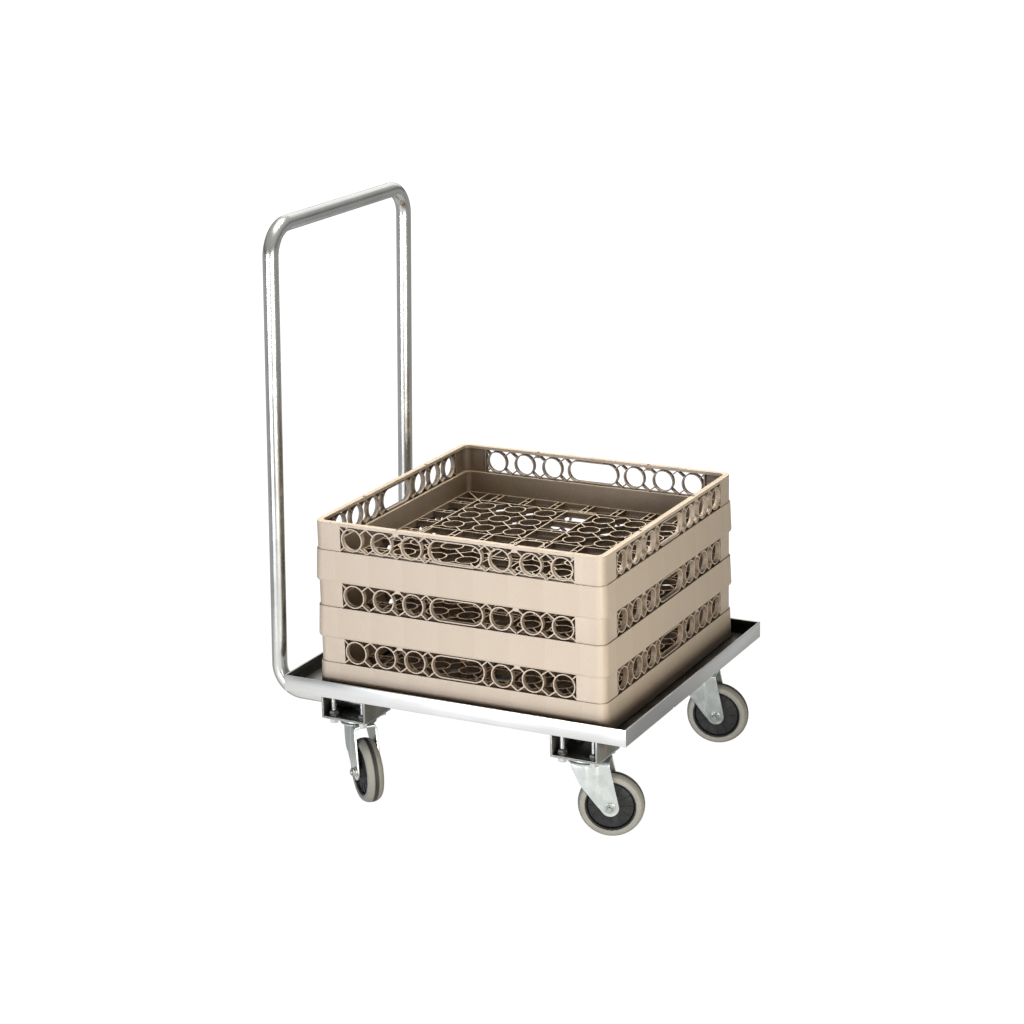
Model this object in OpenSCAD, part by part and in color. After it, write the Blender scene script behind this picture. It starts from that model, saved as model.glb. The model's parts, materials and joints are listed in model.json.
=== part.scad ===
// Wheeled dolly for square dish racks: a lipped sheet-steel tray on four
// swivel casters, a bent-tube push handle at one end and a stack of three
// identical open-base racks.  Millimetres, +Z up.  X runs along the tray
// from the handle end, Y from the front edge to the back, and the floor is
// z = 0.  The origin is the middle of the whole outline.

/* [Tray] */
// Length of the tray along X
tray_l = 600; // [560:1:680]
// Width of the tray along Y
tray_w = 540; // [530:1:600]
// Height of the upturned lip, sheet included
lip_h = 27; // [15:1:50]
// Thickness of the tray sheet
sheet_t = 1.5; // [1:0.1:3]
// Thickness of the folded hem along the lip's top edge
hem_t = 3; // [2:0.1:4]
// Height of the folded hem
hem_h = 8; // [5:0.5:12]
// Height of the tray's underside above the floor
deck_z = 173; // [167:1:200]

/* [Push handle] */
// Outer diameter of the handle tube
tube_d = 25; // [22:0.5:26]
// Wall of the handle tube
tube_wall = 1.5; // [1:0.1:3]
// Height of the top bar's centre line above the floor
bar_z = 911; // [700:1:1050]
// Centre-line radius of the two upper bends
bend_top_r = 47; // [35:1:80]
// Centre-line radius of the two lower bends
bend_low_r = 42; // [36:1:43]
// Space between the tray's end and the lower bends
leg_gap = 26.5; // [15:0.5:28]
// Lean of the upright legs towards the tray, in degrees
lean = 1.86; // [0:0.01:2.2]
// Space between the tray's underside and the runs below it
run_gap = 5; // [4.5:0.1:5.2]
// Y of the front leg, from the tray's middle
leg_front_y = -219.5; // [-226:0.5:-215.5]
// Y of the rear leg, from the tray's middle
leg_rear_y = 197.5; // [192:0.5:208]

/* [Caster brackets] */
// Width of a bracket along X
bracket_w = 79; // [79:1:90]
// Length of a bracket's channel along Y
bracket_l = 86; // [78:1:90]
// Height of a bracket from its web's underside to the tray
bracket_h = 36; // [34:1:38]
// Thickness of the bracket sheet
bracket_t = 3; // [2.5:0.1:3]
// Sideways offset of a bracket from its swivel axis
bracket_shift = -1.5; // [-1.9:0.1:1.9]
// X of the two left swivel axes, from the tray's middle
caster_left_x = -192; // [-200:1:-185]
// X of the two right swivel axes, from the tray's middle
caster_right_x = 213; // [190:1:225]
// Y of the two front swivel axes, from the tray's middle
caster_front_y = -224.5; // [-227:0.5:-222]
// Y of the two rear swivel axes, from the tray's middle
caster_rear_y = 200; // [198:1:205]

/* [Casters] */
// Diameter of a wheel over its tyre
wheel_d = 104; // [98:1:106]
// Width of the tyre
tyre_w = 27; // [22:1:30]
// Radius where the tyre meets the hub
hub_r = 40; // [34:0.5:42]
// Distance from the swivel axis back to the axle
trail = 37; // [30:1:40]
// Swivel angle of the front left caster
turn_front_left = -42; // [-180:1:180]
// Swivel angle of the front right caster
turn_front_right = 18; // [-180:1:180]
// Swivel angle of the rear left caster
turn_rear_left = -15; // [-180:1:180]
// Swivel angle of the rear right caster
turn_rear_right = 11; // [-180:1:180]
// Side of the square top plate
plate_side = 76; // [74:1:78]
// Thickness of the top plate
plate_t = 3; // [2:0.5:4]
// Bolt spacing along X
bolt_dx = 53; // [51:0.5:53.5]
// Bolt spacing along Y
bolt_dy = 60; // [58:1:62]
// Thread diameter of the plate bolts
bolt_d = 8; // [6:0.5:8]
// Thickness of the fork's sheet
fork_t = 3; // [2:0.5:4]

/* [Dish racks] */
// Outer side of a rack's upper band
rack_side = 500; // [480:1:500]
// Height of one rack
rack_h = 97; // [95:1:110]
// Rise from one stacked rack to the next
rack_pitch = 93; // [91:0.5:106]
// X of the stack, from the tray's middle
stack_x = 4; // [-10:1:20]
// Y of the stack, from the tray's middle
stack_y = 5; // [-5:1:8]
// Radius of a rack's upright corners
rack_corner_r = 14; // [10:1:25]
// Height of the lower, wider skirt
skirt_h = 51; // [48:1:53]
// Length of the open window in each wall
window_l = 410; // [404:1:416]
// Outer diameter of the moulded rings
ring_d = 38; // [34:0.5:38.5]
// Wall of the moulded rings and ribs
rib_t = 2; // [1.5:0.1:2.6]
// Spacing of the wall rings
ring_step = 53; // [50:0.5:54]
// Half length of the hand slot's frame
slot_half = 47; // [40:0.5:50]
// Spacing of the floor rings
floor_step = 57; // [52:0.5:58]
// Depth of the walls' lattice
lattice_t = 8; // [6:0.5:9]

/* [Hidden] */

$fn = 64;

// Clearances
run_fit = 0.05;
slip_fit = 0.3;
bolt_fit = 0.5;
bite = 0.5;

// Colours
steel_c = [0.80, 0.81, 0.80];
bracket_c = [0.36, 0.36, 0.34];
zinc_c = [0.70, 0.74, 0.71];
bolt_c = [0.82, 0.82, 0.80];
hub_c = [0.12, 0.12, 0.13];
tyre_c = [0.60, 0.58, 0.53];
rack_c = [0.80, 0.72, 0.62];

// Wheel outline: radius and half width, from the axle outwards
wheel_r = wheel_d / 2;
tyre_half = tyre_w / 2;
shoulder_r = wheel_r - 6;
groove_w = 3;
groove_depth = 1.2;
tyre_points = [
    [hub_r, tyre_half - 1],
    [hub_r + 1.5, tyre_half - 0.3],
    [shoulder_r - 1, tyre_half],
    [shoulder_r + 1.5, tyre_half - 1],
    [wheel_r - 3, tyre_half - 3],
    [wheel_r - 1.2, tyre_half - 6],
    [wheel_r, groove_w / 2],
    [wheel_r - groove_depth, groove_w / 2 - 0.8]
];

// Heights of the caster, down from the bracket
web_z = deck_z - bracket_h;
plate_z = web_z - plate_t;
race_h = 8;
race_gap = 0.1;
crown_z = plate_z - race_h;
crown_t = 3.5;
crown_r = 29;
race_r = 27;
kingpin_r = 6;
kingpin_head_r = 10;
kingpin_head_h = 3.5;
axle_z = wheel_r;

// Fork, seen from the side; s runs from the swivel axis towards the axle
leg_in = tyre_w / 2 + 3;
leg_out = leg_in + fork_t;
leg_end_r = 14;
leg_front_s = -22;
leg_back_s = 36;
leg_top_z = crown_z;

// Axle
sleeve_r = 7;
axle_r = 4;
hub_half = leg_in - 1;
nut_af = 13;
nut_h = 6.5;
head_h = 5.3;
flange_r = 8;
flange_h = 1.5;
bolt_end_gap = 3;

// Rack levels, up from the rack's own underside
rim_h = 5;
band_half = rack_side / 2;
rim_w = 9;
post_t = 4;
skirt_step = 2;
skirt_flare = 1.5;
skirt_wall = 2.5;
foot_chamfer = 3;
nest = rack_h - rack_pitch;
nest_gap = 0.6;
inner_half = band_half - rim_w - nest_gap;
inner_t = 2.5;
ledge_t = 4;
floor_low = 5;
floor_top = 15;
window_h = rack_h - rim_h - skirt_h;
ring_z = skirt_h + window_h / 2;
stop_t = 2;
pin_hole_r = 1.8;
pin_hole_depth = 6;
ladder_half = 111.25 - 1.5 * floor_step;
field_mid = 1.5 * floor_step + ladder_half;
gusset_x = 0.5 * (ring_x(0) + ring_x(1));

function ring_x(i) = window_l / 2 - 22.5 - (2 - i) * ring_step;

// How far a turned wheel reaches from its axle, and the whole outline
function reach(u, v) = max([for (p = tyre_points) p[0] * abs(u) + p[1] * abs(v)]);
function low_y(y, turn) = y + trail * sin(turn) - reach(sin(turn), cos(turn));
function high_y(y, turn) = y + trail * sin(turn) + reach(sin(turn), cos(turn));
function high_x(x, turn) = x + trail * cos(turn) + reach(cos(turn), sin(turn));
bend_x = -tray_l / 2 - leg_gap - tube_d / 2 + bend_low_r;
x_low = -tray_l / 2 - leg_gap - tube_d;
x_high = max(tray_l / 2, high_x(caster_right_x, turn_front_right), high_x(caster_right_x, turn_rear_right));
y_low = min(-tray_w / 2, low_y(caster_front_y, turn_front_left), low_y(caster_front_y, turn_front_right));
y_high = max(tray_w / 2, high_y(caster_rear_y, turn_rear_left), high_y(caster_rear_y, turn_rear_right));
mid_x = (x_low + x_high) / 2;
mid_y = (y_low + y_high) / 2;

function caster_x(side) = side == "l" ? caster_left_x : caster_right_x;
function caster_y(end) = end == "f" ? caster_front_y : caster_rear_y;

// Frame: the tray's middle moved so that the outline's middle is the origin
module placed() {
    translate([-mid_x, -mid_y, 0]) children();
}

module at_caster(end, side) {
    placed() translate([caster_x(side), caster_y(end), 0]) children();
}

module turned(end, side, turn) {
    at_caster(end, side) rotate([0, 0, turn]) children();
}

// Square with rounded corners, made of true arcs
module round_square(half, r) {
    square([2 * half, 2 * (half - r)], center = true);
    square([2 * (half - r), 2 * half], center = true);
    for (x = [-1, 1])
        for (y = [-1, 1])
            translate([x * (half - r), y * (half - r)]) circle(r);
}

module square_ring(half_out, r_out, half_in, r_in) {
    difference() {
        round_square(half_out, r_out);
        round_square(half_in, r_in);
    }
}

module bar_2d(a, b, t) {
    len = norm(b - a);
    ang = atan2(b[1] - a[1], b[0] - a[0]);
    translate(a) rotate(ang) translate([0, -t / 2]) square([len, t]);
}

// Sheet tray: floor, four lips and the hem folded inwards along them
module tray() {
    color(steel_c) placed() difference() {
        translate([-tray_l / 2, -tray_w / 2, deck_z]) cube([tray_l, tray_w, lip_h]);
        translate([-tray_l / 2 + sheet_t, -tray_w / 2 + sheet_t, deck_z + sheet_t])
            cube([tray_l - 2 * sheet_t, tray_w - 2 * sheet_t, lip_h - hem_h - sheet_t]);
        translate([-tray_l / 2 + hem_t, -tray_w / 2 + hem_t, deck_z + lip_h - hem_h - 1])
            cube([tray_l - 2 * hem_t, tray_w - 2 * hem_t, hem_h + 2]);
    }
}

// Quarter bend in the plane of X and Z, centred on its own bend centre
module bend(radius, r, from, sweep) {
    rotate([90, 0, 0]) rotate([0, 0, from])
        rotate_extrude(angle = sweep) translate([radius, 0]) circle(r);
}

// One continuous tube path, as a rod of radius r; its legs lean over the tray.
// Everything is set out from the centre of the lower bends.
module handle_rod(r, extra) {
    run_end = caster_left_x + bracket_shift + bracket_w / 2 - bracket_t;
    bend_z = deck_z - run_gap - tube_d / 2 + bend_low_r;
    leg_l = (bar_z - bend_z) / cos(lean) - bend_low_r * tan(lean);
    translate([bend_x, 0, bend_z]) {
        for (y = [leg_front_y, leg_rear_y]) {
            translate([0, y, -bend_low_r]) rotate([0, 90, 0])
                cylinder(r = r, h = run_end - bend_x + extra);
            translate([0, y, 0]) bend(bend_low_r, r, 180 - lean, 90 + lean);
        }
        rotate([0, lean, 0]) translate([-bend_low_r, 0, 0]) {
            for (y = [leg_front_y, leg_rear_y])
                translate([0, y, 0]) cylinder(r = r, h = leg_l - bend_top_r);
            translate([0, leg_front_y + bend_top_r, leg_l - bend_top_r])
                rotate([0, 0, 90]) bend(bend_top_r, r, 90, 90);
            translate([0, leg_rear_y - bend_top_r, leg_l - bend_top_r])
                rotate([0, 0, 90]) bend(bend_top_r, r, 0, 90);
            translate([0, leg_front_y + bend_top_r, leg_l]) rotate([-90, 0, 0])
                cylinder(r = r, h = leg_rear_y - leg_front_y - 2 * bend_top_r);
        }
    }
}

module push_handle() {
    color(steel_c) placed() difference() {
        handle_rod(tube_d / 2, 0);
        handle_rod(tube_d / 2 - tube_wall, 1);
    }
}

module bolt_places() {
    for (x = [-1, 1])
        for (y = [-1, 1])
            translate([x * bolt_dx / 2, y * bolt_dy / 2, 0]) children();
}

// Channel bracket, open to the front and back, welded under the tray
module bracket(end, side) {
    run_y = (end == "f" ? leg_front_y : leg_rear_y) - caster_y(end);
    color(bracket_c) at_caster(end, side) difference() {
        translate([bracket_shift - bracket_w / 2, -bracket_l / 2, web_z])
            cube([bracket_w, bracket_l, bracket_h]);
        translate([bracket_shift - bracket_w / 2 + bracket_t, -bracket_l, web_z + bracket_t])
            cube([bracket_w - 2 * bracket_t, 2 * bracket_l, bracket_h]);
        bolt_places() translate([0, 0, web_z - 1])
            cylinder(r = (bolt_d + bolt_fit) / 2, h = bracket_t + 2);
        if (side == "l")
            translate([-bracket_w, run_y, deck_z - run_gap - tube_d / 2])
                rotate([0, 90, 0]) cylinder(r = tube_d / 2 + slip_fit, h = bracket_w);
    }
}

module top_plate(end, side) {
    color(zinc_c) at_caster(end, side) difference() {
        translate([-plate_side / 2, -plate_side / 2, plate_z])
            cube([plate_side, plate_side, plate_t]);
        bolt_places() translate([0, 0, plate_z - 1])
            cylinder(r = (bolt_d + bolt_fit) / 2, h = plate_t + 2);
        translate([0, 0, plate_z - 1]) cylinder(r = kingpin_r, h = plate_t + 2);
    }
}

// Pressed bearing cup under the top plate
module race(end, side) {
    color(zinc_c) at_caster(end, side) rotate_extrude() polygon([
        [kingpin_r + run_fit, crown_z + race_gap],
        [race_r, crown_z + race_gap],
        [race_r, crown_z + race_h * 0.55],
        [race_r - 3, plate_z],
        [kingpin_r + run_fit, plate_z]
    ]);
}

module kingpin(end, side) {
    color(zinc_c) at_caster(end, side) union() {
        translate([0, 0, crown_z - crown_t - 0.1]) cylinder(r = kingpin_r, h = web_z - crown_z + crown_t + 0.1);
        translate([0, 0, crown_z - crown_t - 0.1 - kingpin_head_h])
            cylinder(r = kingpin_head_r, h = kingpin_head_h);
    }
}

module hex(af, h) {
    cylinder(r = af / sqrt(3), h = h, $fn = 6);
}

// Hex bolts up through the top plate and the bracket's web
module plate_bolts(end, side) {
    color(bolt_c) at_caster(end, side) bolt_places() {
        translate([0, 0, plate_z - head_h]) hex(nut_af, head_h);
        translate([0, 0, plate_z - bite]) cylinder(r = bolt_d / 2, h = deck_z - bolt_end_gap - plate_z + bite);
    }
}

// Flange nuts on top of the web
module plate_nuts(end, side) {
    color(hub_c) at_caster(end, side) bolt_places() translate([0, 0, web_z + bracket_t]) difference() {
        union() {
            cylinder(r = flange_r, h = flange_h);
            hex(nut_af, flange_h + nut_h);
        }
        translate([0, 0, -1]) cylinder(r = bolt_d / 2, h = flange_h + nut_h + 2);
    }
}

// Side outline of a fork leg, x along s and y up
module leg_2d() {
    difference() {
        union() {
            translate([trail, axle_z]) circle(leg_end_r);
            polygon([
                [leg_front_s, leg_top_z],
                [leg_front_s, leg_top_z - 9],
                [leg_front_s + 7, leg_top_z - 24],
                [leg_front_s + 16, leg_top_z - 41],
                [trail - leg_end_r * cos(40), axle_z - leg_end_r * sin(40)],
                [trail + leg_end_r * cos(8), axle_z + leg_end_r * sin(8)],
                [leg_back_s, leg_top_z]
            ]);
        }
        translate([trail, axle_z]) circle(axle_r + 0.2);
    }
}

// Pressed fork: a crown over the kingpin and two offset legs
module fork(end, side, turn) {
    color(zinc_c) turned(end, side, turn) difference() {
        union() {
            translate([0, 0, crown_z - crown_t]) cylinder(r = crown_r, h = crown_t);
            translate([leg_front_s, -leg_out, crown_z - crown_t])
                cube([leg_back_s - leg_front_s, 2 * leg_out, crown_t]);
            for (y = [-leg_in, leg_out])
                translate([0, y, 0]) rotate([90, 0, 0]) linear_extrude(fork_t) leg_2d();
        }
        translate([0, 0, crown_z - crown_t - 1])
            cylinder(r = kingpin_r + run_fit, h = crown_t + 2);
    }
}

module on_axle(end, side, turn) {
    turned(end, side, turn) translate([trail, 0, axle_z]) rotate([90, 0, 0]) children();
}

module axle_sleeve(end, side, turn) {
    color(zinc_c) on_axle(end, side, turn) difference() {
        translate([0, 0, -leg_in]) cylinder(r = sleeve_r, h = 2 * leg_in);
        translate([0, 0, -leg_in - 1]) cylinder(r = axle_r, h = 2 * leg_in + 2);
    }
}

module axle_bolt(end, side, turn) {
    color(bolt_c) on_axle(end, side, turn) union() {
        translate([0, 0, -leg_out - head_h]) hex(nut_af, head_h);
        translate([0, 0, -leg_out - bite]) cylinder(r = axle_r, h = 2 * leg_out + nut_h + 2 + bite);
    }
}

module axle_nut(end, side, turn) {
    color(bolt_c) on_axle(end, side, turn) translate([0, 0, leg_out]) difference() {
        union() {
            cylinder(r = flange_r, h = 1);
            hex(nut_af, nut_h);
        }
        translate([0, 0, -1]) cylinder(r = axle_r, h = nut_h + 2);
    }
}

// Black hub: dished discs between a boss and the tyre's seat
module hub(end, side, turn) {
    half = tyre_w / 2 - 1;
    color(hub_c) on_axle(end, side, turn) rotate_extrude() polygon([
        [sleeve_r + run_fit, -hub_half],
        [12, -hub_half],
        [14, -hub_half + 3],
        [hub_r - 8, -half + 3],
        [hub_r - 5, -half],
        [hub_r, -half],
        [hub_r, half],
        [hub_r - 5, half],
        [hub_r - 8, half - 3],
        [14, hub_half - 3],
        [12, hub_half],
        [sleeve_r + run_fit, hub_half]
    ]);
}

// Grey tyre with a crowned tread and a narrow centre groove
module tyre(end, side, turn) {
    far = len(tyre_points) - 1;
    color(tyre_c) on_axle(end, side, turn) rotate_extrude() polygon(concat(
        [for (p = tyre_points) [p[0], -p[1]]],
        [for (i = [0:far]) tyre_points[far - i]]));
}

// One wall's lattice seen face on: frame, rings, hand slot and diagonal ribs
module wall_2d() {
    top = window_h / 2;
    ring_r = ring_d / 2;
    v_in = 0.5 * (slot_half + ring_x(0) - ring_r);
    slot_mid = slot_half - ring_r;
    difference() {
        square([window_l + 2 * bite, window_h + 2 * bite], center = true);
        square([window_l - 2 * rib_t, window_h], center = true);
    }
    difference() {
        union() {
            for (sx = [-1, 1]) {
                for (i = [0:2])
                    translate([sx * ring_x(i), 0]) circle(ring_r);
                translate([sx * slot_mid, 0]) circle(ring_r);
                for (sy = [-1, 1]) {
                    bar_2d([sx * slot_mid, 0], [sx * v_in, sy * top], rib_t);
                    bar_2d([sx * ring_x(0), 0], [sx * v_in, sy * top], rib_t);
                    for (i = [0:1]) {
                        v = 0.5 * (ring_x(i) + ring_x(i + 1));
                        bar_2d([sx * ring_x(i), 0], [sx * v, sy * top], rib_t);
                        bar_2d([sx * ring_x(i + 1), 0], [sx * v, sy * top], rib_t);
                    }
                    bar_2d([sx * ring_x(2), 0], [sx * window_l / 2, sy * top], rib_t);
                }
            }
            square([2 * slot_mid, ring_d], center = true);
        }
        for (sx = [-1, 1]) {
            for (i = [0:2])
                translate([sx * ring_x(i), 0]) circle(ring_r - rib_t);
            translate([sx * slot_mid, 0]) circle(ring_r - rib_t);
        }
        square([2 * slot_mid, ring_d - 2 * rib_t], center = true);
        translate([-window_l, top]) square([2 * window_l, ring_d]);
        translate([-window_l, -top - ring_d]) square([2 * window_l, ring_d]);
    }
    for (sx = [-1, 1])
        translate([sx * gusset_x - 5, top - 5]) square([10, 5]);
}

// Square field of three by three floor rings with their diagonal ribs
module field_2d() {
    ring_r = ring_d / 2;
    edge = 1.5 * floor_step;
    difference() {
        square(2 * edge + rib_t, center = true);
        square(2 * edge - rib_t, center = true);
    }
    difference() {
        union() {
            for (i = [-1:1])
                for (j = [-1:1])
                    translate([i * floor_step, j * floor_step]) {
                        circle(ring_r);
                        for (sx = [-1, 1])
                            for (sy = [-1, 1])
                                bar_2d([0, 0], [sx, sy] * floor_step / 2, rib_t);
                    }
        }
        for (i = [-1:1])
            for (j = [-1:1])
                translate([i * floor_step, j * floor_step]) circle(ring_r - rib_t);
    }
}

// Strip of long cells parted by pairs of cross ribs with a middle tick
module ladder_2d(y0, y1) {
    pair = 5;
    for (k = [-3:3]) {
        c = k * floor_step;
        for (s = [-1, 1])
            translate([c + s * pair - rib_t / 2, y0]) square([rib_t, y1 - y0]);
        translate([c - pair, (y0 + y1) / 2 - rib_t / 2]) square([2 * pair, rib_t]);
    }
}

// Whole floor grid, as wide as the rack's inner wall
module floor_2d(half) {
    outer = field_mid + 1.5 * floor_step;
    intersection() {
        round_square(half + bite, rack_corner_r - rim_w / 2);
        union() {
            for (sx = [-1, 1])
                for (sy = [-1, 1])
                    translate([sx * field_mid, sy * field_mid]) field_2d();
            for (q = [0:3])
                rotate(q * 90) {
                    intersection() {
                        ladder_2d(outer, half + 1);
                        translate([-outer, outer - 1]) square([2 * outer, half]);
                    }
                    translate([-half - 1, outer - rib_t / 2]) square([2 * half + 2, rib_t]);
                    bar_2d([outer, outer], [half, half], rib_t);
                }
            for (s = [-1, 1]) {
                translate([0, s * field_mid]) ladder_core();
                rotate(90) translate([0, s * field_mid]) ladder_core();
            }
            difference() {
                circle(ladder_half);
                circle(ladder_half - rib_t);
            }
        }
    }
}

// Ladder between two fields, running along Y
module ladder_core() {
    pair = 5;
    for (k = [-1.5:1:1.5]) {
        c = k * floor_step;
        for (s = [-1, 1])
            translate([-ladder_half, c + s * pair - rib_t / 2]) square([2 * ladder_half, rib_t]);
        translate([-rib_t / 2, c - pair]) square([rib_t, 2 * pair]);
    }
}

// Skirt's outer skin: wider at the foot, chamfered at the very bottom
module skirt_skin() {
    hull() {
        linear_extrude(0.1) round_square(band_half + skirt_step, rack_corner_r, $fn = 32);
        translate([0, 0, foot_chamfer]) linear_extrude(0.1)
            round_square(band_half + skirt_step + skirt_flare, rack_corner_r + skirt_flare, $fn = 32);
        translate([0, 0, skirt_h - 0.1]) linear_extrude(0.1)
            round_square(band_half + skirt_step, rack_corner_r + skirt_step, $fn = 32);
    }
}

// Ribs between the skirt and the inner wall, which rest on the rim below
module stops() {
    len = band_half + skirt_step - skirt_wall - inner_half + 2 * bite;
    for (q = [0:3])
        rotate(q * 90)
            for (x = [-180:90:180])
                translate([x - stop_t / 2, inner_half - bite, nest])
                    cube([stop_t, len, skirt_h - ledge_t / 2 - nest]);
}

module rack(level) {
    color(rack_c) placed()
        translate([stack_x, stack_y, deck_z + sheet_t + level * rack_pitch]) {
            difference() {
                union() {
                    translate([0, 0, rack_h - rim_h]) linear_extrude(rim_h)
                        square_ring(band_half, rack_corner_r, band_half - rim_w, rack_corner_r - rim_w / 2);
                    translate([0, 0, skirt_h - ledge_t])
                        linear_extrude(rack_h - rim_h - skirt_h + ledge_t + bite) difference() {
                            square_ring(band_half, rack_corner_r, band_half - post_t, rack_corner_r - post_t / 2);
                            square([window_l, 3 * band_half], center = true);
                            square([3 * band_half, window_l], center = true);
                        }
                    translate([0, 0, skirt_h - ledge_t]) linear_extrude(ledge_t)
                        square_ring(band_half + bite, rack_corner_r, inner_half - inner_t, rack_corner_r - rim_w / 2);
                    for (q = [0:3])
                        rotate([0, 0, q * 90]) translate([0, -band_half + lattice_t, ring_z])
                            rotate([90, 0, 0]) linear_extrude(lattice_t) wall_2d();
                    difference() {
                        skirt_skin();
                        translate([0, 0, -1]) linear_extrude(nest + 2)
                            round_square(band_half + nest_gap, rack_corner_r + nest_gap);
                        translate([0, 0, nest]) linear_extrude(skirt_h)
                            round_square(band_half + skirt_step - skirt_wall, rack_corner_r - 0.5);
                    }
                    translate([0, 0, floor_low]) linear_extrude(skirt_h - floor_low)
                        square_ring(
                            inner_half, rack_corner_r - rim_w / 2,
                            inner_half - inner_t, rack_corner_r - rim_w / 2 - 1);
                    stops();
                    translate([0, 0, floor_low]) linear_extrude(floor_top - floor_low)
                        floor_2d(inner_half - inner_t);
                }
                for (q = [0:3])
                    rotate([0, 0, q * 90])
                        for (x = [-gusset_x, gusset_x])
                            translate([x, band_half - lattice_t / 2 - 0.5, rack_h - pin_hole_depth])
                                cylinder(r = pin_hole_r, h = pin_hole_depth + 1);
            }
        }
}

tray();
push_handle();
bracket("f", "l");  // bracket_fl
bracket("f", "r");  // bracket_fr
bracket("r", "l");  // bracket_rl
bracket("r", "r");  // bracket_rr
top_plate("f", "l");  // top_plate_fl
top_plate("f", "r");  // top_plate_fr
top_plate("r", "l");  // top_plate_rl
top_plate("r", "r");  // top_plate_rr
race("f", "l");  // race_fl
race("f", "r");  // race_fr
race("r", "l");  // race_rl
race("r", "r");  // race_rr
kingpin("f", "l");  // kingpin_fl
kingpin("f", "r");  // kingpin_fr
kingpin("r", "l");  // kingpin_rl
kingpin("r", "r");  // kingpin_rr
plate_bolts("f", "l");  // plate_bolts_fl
plate_bolts("f", "r");  // plate_bolts_fr
plate_bolts("r", "l");  // plate_bolts_rl
plate_bolts("r", "r");  // plate_bolts_rr
plate_nuts("f", "l");  // plate_nuts_fl
plate_nuts("f", "r");  // plate_nuts_fr
plate_nuts("r", "l");  // plate_nuts_rl
plate_nuts("r", "r");  // plate_nuts_rr
fork("f", "l", turn_front_left);  // fork_fl
fork("f", "r", turn_front_right);  // fork_fr
fork("r", "l", turn_rear_left);  // fork_rl
fork("r", "r", turn_rear_right);  // fork_rr
axle_sleeve("f", "l", turn_front_left);  // axle_sleeve_fl
axle_sleeve("f", "r", turn_front_right);  // axle_sleeve_fr
axle_sleeve("r", "l", turn_rear_left);  // axle_sleeve_rl
axle_sleeve("r", "r", turn_rear_right);  // axle_sleeve_rr
axle_bolt("f", "l", turn_front_left);  // axle_bolt_fl
axle_bolt("f", "r", turn_front_right);  // axle_bolt_fr
axle_bolt("r", "l", turn_rear_left);  // axle_bolt_rl
axle_bolt("r", "r", turn_rear_right);  // axle_bolt_rr
axle_nut("f", "l", turn_front_left);  // axle_nut_fl
axle_nut("f", "r", turn_front_right);  // axle_nut_fr
axle_nut("r", "l", turn_rear_left);  // axle_nut_rl
axle_nut("r", "r", turn_rear_right);  // axle_nut_rr
hub("f", "l", turn_front_left);  // hub_fl
hub("f", "r", turn_front_right);  // hub_fr
hub("r", "l", turn_rear_left);  // hub_rl
hub("r", "r", turn_rear_right);  // hub_rr
tyre("f", "l", turn_front_left);  // tyre_fl
tyre("f", "r", turn_front_right);  // tyre_fr
tyre("r", "l", turn_rear_left);  // tyre_rl
tyre("r", "r", turn_rear_right);  // tyre_rr
rack(0);  // rack_bottom
rack(1);  // rack_middle
rack(2);  // rack_top
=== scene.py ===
import json
import math

import bmesh
import bpy
from mathutils import Matrix, Vector


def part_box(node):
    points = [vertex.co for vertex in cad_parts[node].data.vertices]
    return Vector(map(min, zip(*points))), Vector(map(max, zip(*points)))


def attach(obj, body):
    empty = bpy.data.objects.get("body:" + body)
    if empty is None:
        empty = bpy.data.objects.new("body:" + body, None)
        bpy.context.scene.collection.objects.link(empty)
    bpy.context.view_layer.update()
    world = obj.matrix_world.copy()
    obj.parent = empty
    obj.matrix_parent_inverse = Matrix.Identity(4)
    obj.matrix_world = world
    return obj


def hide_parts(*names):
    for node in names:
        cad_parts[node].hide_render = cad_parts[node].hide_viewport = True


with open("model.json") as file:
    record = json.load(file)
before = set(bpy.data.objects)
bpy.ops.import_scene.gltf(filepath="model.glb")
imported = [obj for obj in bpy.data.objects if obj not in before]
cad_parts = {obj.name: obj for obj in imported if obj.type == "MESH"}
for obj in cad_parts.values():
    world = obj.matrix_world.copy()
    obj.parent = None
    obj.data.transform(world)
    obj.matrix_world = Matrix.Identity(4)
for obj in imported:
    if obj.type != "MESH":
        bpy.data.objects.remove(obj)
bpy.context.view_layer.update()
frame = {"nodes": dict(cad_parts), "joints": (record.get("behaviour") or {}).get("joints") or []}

bl_info = {
    "name": "Dish Rack Dolly",
    "version": (1, 0, 0),
    "blender": (4, 5, 0),
    "location": "View3D > Sidebar > Dolly",
    "description": "Dresses a dish rack dolly in stainless steel, zinc, rubber and moulded plastic",
    "category": "Object",
}

MM = 0.001
ENDS = {"fl": "front_left", "fr": "front_right", "rl": "rear_left", "rr": "rear_right"}
JOINTS = {j["name"]: j for j in frame["joints"]}

# The racks: half a side, a skirt's height, and how far the middle of the rim lies inside the outer face.
RACK_HALF, SKIRT_HEIGHT, RIM_MIDDLE = 0.25, 0.0512, 0.006
# The rim's pin holes, painted as nearly black discs of shade: their distance from the middle of a side, and
# their radius.
PIN_PLACE, PIN_RADIUS = 0.103, 0.003
# The skirts' texture: radians a metre of the diagonal woven texture, whose grooves get painted shade, and the
# width of a flow band.
WEAVE, FLOW_BAND = 1350, 0.060
# The rail round a rack's floor grid, and its bottom and top above the rack's foot.
FLOOR_RAIL = {"half": 0.2381, "width": 0.0022, "radius": 0.0085}
RAIL_LOW, RAIL_HIGH = 0.0050, 0.0152
# The plate bolts' heads: as the CAD has them, and as they are dressed.
CAD_HEAD, BOLT_HEAD = 0.0053, 0.0076
# The bolt pattern of a top plate.
PATTERN = {"SpacingX": 0.053, "SpacingY": 0.060}


# ---------------------------------------------------------------- node trees


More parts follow.
